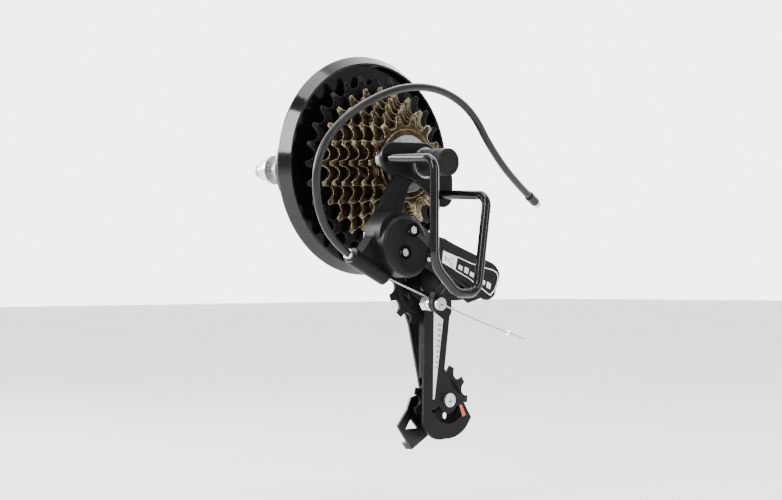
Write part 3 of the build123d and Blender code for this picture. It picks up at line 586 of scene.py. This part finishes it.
def lathe(name, profile, steps=128):
    """Mesh turned about the axle line from (radius, out) points in millimetres."""
    made = bmesh.new()
    rings = []
    for radius, out in profile:
        if radius == 0:
            rings.append([made.verts.new((0, -out * MM, 0))])
            continue
        ring = []
        for i in range(steps):
            turn = 2 * math.pi * i / steps
            x, z = radius * MM * math.cos(turn), radius * MM * math.sin(turn)
            ring.append(made.verts.new((x, -out * MM, z)))
        rings.append(ring)
    for low, high in zip(rings, rings[1:]):
        for i in range(steps):
            j = (i + 1) % steps
            if len(low) == 1:
                made.faces.new((low[0], high[i], high[j]))
            elif len(high) == 1:
                made.faces.new((low[i], high[0], low[j]))
            else:
                made.faces.new((low[i], high[i], high[j], low[j]))
    bmesh.ops.recalc_face_normals(made, faces=made.faces)
    mesh = bpy.data.meshes.new(name)
    made.to_mesh(mesh)
    made.free()
    smooth(mesh, LATHE_SHARP_ANGLE)
    return mesh


def rounded_profile(points, radius):
    """(radius, out) profile with each inner corner replaced by an arc."""
    result = [points[0]]
    for before, corner, after in zip(points, points[1:], points[2:]):
        a, c, b = Vector(before), Vector(corner), Vector(after)
        reach = min(radius, (a - c).length / 2, (b - c).length / 2)
        start = c + (a - c).normalized() * reach
        end = c + (b - c).normalized() * reach
        for i in range(ARC_STEPS + 1):
            t = i / ARC_STEPS
            result.append(tuple((1 - t) ** 2 * start + 2 * t * (1 - t) * c + t ** 2 * end))
    result.append(points[-1])
    return result


# ---- axle cap -------------------------------------------------------------------------------
CAP_MOUTH = 0.9  # bevel at the open end, millimetres
CAP_ROUNDING = 0.7
# The groove, the rim and the shallow dish of the end face, in millimetres: how far inside the
# cap's radius, and how far back from its end face.
CAP_STEPS = (
    (0, 7.2), (0.35, 6.9), (0.35, 6.2), (0, 5.9), (0, 0), (1.9, 0), (2.2, 0.5), (2.8, 0.5),
    (3.1, 0.15),
)


def make_axle_cap(made):
    """Rounded plastic cap in place of the CAD model's plain one, to the same box."""
    low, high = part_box("axle_nut_cap")
    near, far = -high.y / MM, -low.y / MM
    radius = (high.x - low.x) / 2 / MM
    steps = [(radius - inset, far - back) for inset, back in CAP_STEPS]
    outline = [(radius - CAP_MOUTH, near), (radius, near), *steps, (0, far)]
    mesh = lathe("axle_cap", rounded_profile(outline, CAP_ROUNDING))
    piece = piece_from("axle_cap", mesh, made["cap_plastic"], "axle_group")
    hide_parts("axle_nut_cap")


# ---- labels ---------------------------------------------------------------------------------
FILM = 0.00006  # thickness of a printed label, in metres
BAR_FILM = 0.00005
INK = 0.00003  # thickness of what is printed over a label
# The rest of this section is in millimetres.
LINK_FACE_OUT = 5.0 + 2.6  # from the pins' line to the outer link's face
LABEL_UPPER = [
    (4.2, -4.6), (15.5, -3.0), (26.0, -1.8), (36.0, 0.9), (43.0, 3.2), (46.6, 2.8), (48.2, 0.2),
]
LABEL_LOWER = [
    (48.2, -5.0), (47.2, -11.0), (44.6, -17.0), (36.5, -15.6), (26.8, -13.9), (15.5, -13.9),
    (5.0, -14.0),
]
BORDER_WIDE = 0.8
BLOCK_COLUMNS = ((6.2, 8.4), (8.9, 10.6), (11.1, 13.0))
BLOCK_ROWS, BLOCK_TOP, BLOCK_PITCH, BLOCK_TALL = 4, -6.2, 1.8, 1.2
BARS, BAR_LEFT, BAR_PITCH, BAR_WIDE, BAR_LOW = 6, 17.6, 4.6, 3.1, -11.4
BAR_TALLS = (3.4, 4.6)  # even bars, odd bars
LEVEL_BARS, BAR_DROP = 3, 0.6  # the bars after these step down
STRIPE = [(22.4, -96.6), (30.6, -101.8), (22.6, -154.0), (21.3, -154.0)]
DASHES, DASH_TOP, DASH_PITCH = 9, -104.0, 3.5
DASH_RIGHT, DASH_SHIFT = 29.3, 0.50
DASH_WIDE, DASH_NARROWING = 3.4, 0.22
DASH_LEFT_END, DASH_RIGHT_ENDS = 2.0, (0.5, 2.4)
TENSION_MARK = [(44.6, -158.4), (47.0, -158.6), (50.4, -165.4), (47.4, -166.4)]


def flat_shape(name, outlines, plane, thick):
    """Thin plates from outlines of (x, y) points in millimetres, drawn on a plane's matrix."""
    made = bmesh.new()
    for outline in outlines:
        low = [made.verts.new(plane @ Vector((x * MM, y * MM, 0))) for x, y in outline]
        high = [made.verts.new(plane @ Vector((x * MM, y * MM, thick))) for x, y in outline]
        made.faces.new(list(reversed(low)))
        made.faces.new(high)
        for i in range(len(outline)):
            j = (i + 1) % len(outline)
            made.faces.new((low[i], low[j], high[j], high[i]))
    bmesh.ops.recalc_face_normals(made, faces=made.faces)
    mesh = bpy.data.meshes.new(name)
    made.to_mesh(mesh)
    made.free()
    return mesh


def stroke(a, b, wide):
    """Four corners of a line of some width."""
    a, b = Vector(a), Vector(b)
    side = (b - a).orthogonal().normalized() * wide / 2
    return [tuple(a + side), tuple(b + side), tuple(b - side), tuple(a - side)]


def rectangle(left, right, low, high):
    return [(left, low), (right, low), (right, high), (left, high)]


def link_plane():
    """The outer link's directions, and its label's matrix.

    x runs along the link, y towards the top of its pins and z off its face.
    """
    start = Vector(joints["shift"]["pos_m"])
    end = Vector(joints["p_knuckle_level"]["pos_m"])
    along = (end - start).normalized()
    pins = Vector(joints["shift"]["axis"]).normalized()
    off = -pins.cross(along)
    face = start + off * LINK_FACE_OUT * MM
    axes = Matrix((along, pins, off)).transposed().to_4x4()
    return axes, Matrix.Translation(face) @ axes


def make_link_label(made):
    """Pale border with a pale field at its root end, printed blocks on that, and plain bars."""
    axes, plane = link_plane()
    border = LABEL_UPPER + LABEL_LOWER
    lines = [stroke(a, b, BORDER_WIDE) for a, b in zip(border[1:-2], border[2:-1])]
    field = [border[0], border[1], border[-2], border[-1]]
    mesh = flat_shape("link_border", lines + [field], plane, FILM)
    piece_from("link_border", mesh, made["label_white"], "outer_link_body")

    blocks = []
    for i in range(BLOCK_ROWS):
        top = BLOCK_TOP - i * BLOCK_PITCH
        for left, right in BLOCK_COLUMNS:
            if (i + round(left)) % 3:  # some are missing, so that the print looks uneven
                blocks.append(rectangle(left, right, top - BLOCK_TALL, top))
    over_film = Matrix.Translation(axes @ Vector((0, 0, FILM))) @ plane
    mesh = flat_shape("link_blocks", blocks, over_film, INK)
    piece_from("link_blocks", mesh, made["label_grey"], "outer_link_body")

    bars = []
    for i in range(BARS):
        left = BAR_LEFT + i * BAR_PITCH
        low = BAR_LOW - BAR_DROP * max(0, i - LEVEL_BARS)
        bars.append(rectangle(left, left + BAR_WIDE, low, low + BAR_TALLS[i % 2]))
    mesh = flat_shape("link_bars", bars, plane, BAR_FILM)
    piece_from("link_bars", mesh, made["label_white"], "outer_link_body")


def make_cage_stripe(made):
    """Tapering pale stripe down the cage's outer plate, with dashes, and a warm mark below."""
    face_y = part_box("cage_outer_plate")[0].y
    plane = Matrix.Translation((0, face_y, 0)) @ Matrix.Rotation(math.radians(90), 4, "X")
    mesh = flat_shape("cage_stripe", [STRIPE], plane, FILM)
    piece_from("cage_stripe", mesh, made["label_silver"], "cage")

    dashes = []
    for i in range(DASHES):
        top = DASH_TOP - i * DASH_PITCH
        right = DASH_RIGHT - DASH_SHIFT * i
        left = right - (DASH_WIDE - DASH_NARROWING * i)
        start, end = DASH_RIGHT_ENDS
        dashes.append([(left, top), (right, top - start), (right, top - end),
                       (left, top - DASH_LEFT_END)])
    over_film = Matrix.Translation((0, -FILM, 0)) @ plane
    mesh = flat_shape("cage_dashes", dashes, over_film, INK)
    piece_from("cage_dashes", mesh, made["label_grey"], "cage")

    mesh = flat_shape("cage_mark", [TENSION_MARK], plane, FILM)
    piece_from("cage_mark", mesh, made["label_red"], "cage")


# ---- painted shadow round the limit screws --------------------------------------------------
SHADOW_RING_PROFILE = [(2.6, 0.0), (2.9, 0.12), (4.3, 0.12), (4.5, 0.0)]  # millimetres
SHADOW_RING_STEPS = 48
SCREW_HEAD_DEPTH = 0.003


def screw_heads():
    """Axis places of the limit screws, from their own meshes."""
    mesh = nodes["limit_screws"].data
    front = min(v.co.y for v in mesh.vertices)
    heads = [v.co for v in mesh.vertices if v.co.y < front + SCREW_HEAD_DEPTH]
    middle = sum(v.z for v in heads) / len(heads)
    places = []
    for group in ([v for v in heads if v.z > middle], [v for v in heads if v.z <= middle]):
        x = (min(v.x for v in group) + max(v.x for v in group)) / 2
        z = (min(v.z for v in group) + max(v.z for v in group)) / 2
        places.append((x, z))
    return places


def make_screw_shadow_rings(made):
    """Near-black rings round the heads of the two limit screws: painted shadow standing in for countersunk
    recesses that are not modelled.
    """
    face_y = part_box("b_knuckle")[0].y
    for number, (x, z) in enumerate(screw_heads()):
        name = f"screw_shadow_ring_{number}"
        mesh = lathe(name, SHADOW_RING_PROFILE, SHADOW_RING_STEPS)
        mesh.transform(Matrix.Translation((x, face_y, z)))
        # painted shadow: a near-black ring on the knuckle's face round each screw head
        piece_from(name, mesh, made["painted_shadow_black"], "b_knuckle_body")


# ---- stage ----------------------------------------------------------------------------------
FLOOR_DROP = 0.035  # below the rest box; the cage swings 12 mm below that box at b_pivot_max
FLOOR_REACH = 8.0
PALE_WAY = (0.55, 0.8, 0.25)  # from the object to the background that the camera sees
WORLD_TINT = (0.96, 0.98, 1.0, 1.0)
WORLD_LIMITS = {"From Min": 0.05, "From Max": 0.75, "To Min": 0.6, "To Max": 5.0}
LIGHT_AIM = (0.0, -0.06, -0.04)
LIGHTS = (  # name, place, size, watts, colour
    ("key", (-1.5, -0.5, 0.9), (0.3, 1.2), 26, (1.0, 0.98, 0.95)),
    ("fill", (0.35, -1.7, 0.35), (0.14, 1.1), 11, (0.95, 0.97, 1.0)),
    ("top", (-0.2, -0.3, 1.5), (0.8, 0.8), 16, (1, 1, 1)),
    ("rim", (-0.75, 1.25, 0.5), (0.9, 0.45), 42, (1, 1, 1)),
)


def make_stage():
    """Pale floor."""
    low = cad_box[0][2] - FLOOR_DROP
    reach = FLOOR_REACH
    mesh = bpy.data.meshes.new("floor")
    corners = [
        (-reach, -reach, low), (reach, -reach, low), (reach, reach, low), (-reach, reach, low),
    ]
    mesh.from_pydata(corners, [], [(0, 1, 2, 3)])
    mesh.materials.append(floor_paint("floor_paint"))
    floor = bpy.data.objects.new("floor", mesh)
    bpy.context.scene.collection.objects.link(floor)


def area_light(name, place, size, power, tint):
    data = bpy.data.lights.new(name, "AREA")
    data.shape = "RECTANGLE"
    data.size, data.size_y = size
    data.energy = power
    data.color = tint
    light = bpy.data.objects.new(name, data)
    bpy.context.scene.collection.objects.link(light)
    light.location = place
    aim = Vector(LIGHT_AIM) - Vector(place)
    light.rotation_euler = aim.to_track_quat("-Z", "Y").to_euler()


def make_world():
    """White behind the object, as the camera sees it, and grey on the camera's side."""
    world = bpy.data.worlds.new("studio")
    world.use_nodes = True
    tree = world.node_tree
    coords = tree.nodes.new("ShaderNodeTexCoord")
    facing = tree.nodes.new("ShaderNodeVectorMath")
    facing.operation = "DOT_PRODUCT"
    tree.links.new(coords.outputs["Generated"], facing.inputs[0])
    facing.inputs[1].default_value = PALE_WAY
    ramp = tree.nodes.new("ShaderNodeMapRange")
    ramp.interpolation_type = "SMOOTHSTEP"
    tree.links.new(facing.outputs["Value"], ramp.inputs["Value"])
    for name, number in WORLD_LIMITS.items():
        ramp.inputs[name].default_value = number
    background = tree.nodes["Background"]
    background.inputs["Color"].default_value = WORLD_TINT
    tree.links.new(ramp.outputs["Result"], background.inputs["Strength"])
    bpy.context.scene.world = world


def make_lights():
    for name, place, size, power, tint in LIGHTS:
        area_light(name, place, size, power, tint)


def main():
    make_camera()
    made = make_materials()
    make_housing(made)
    make_wire(made)
    paint_nodes(made)
    make_axle_cap(made)
    make_link_label(made)
    make_cage_stripe(made)
    make_screw_shadow_rings(made)
    make_stage()
    make_world()
    make_lights()


main()
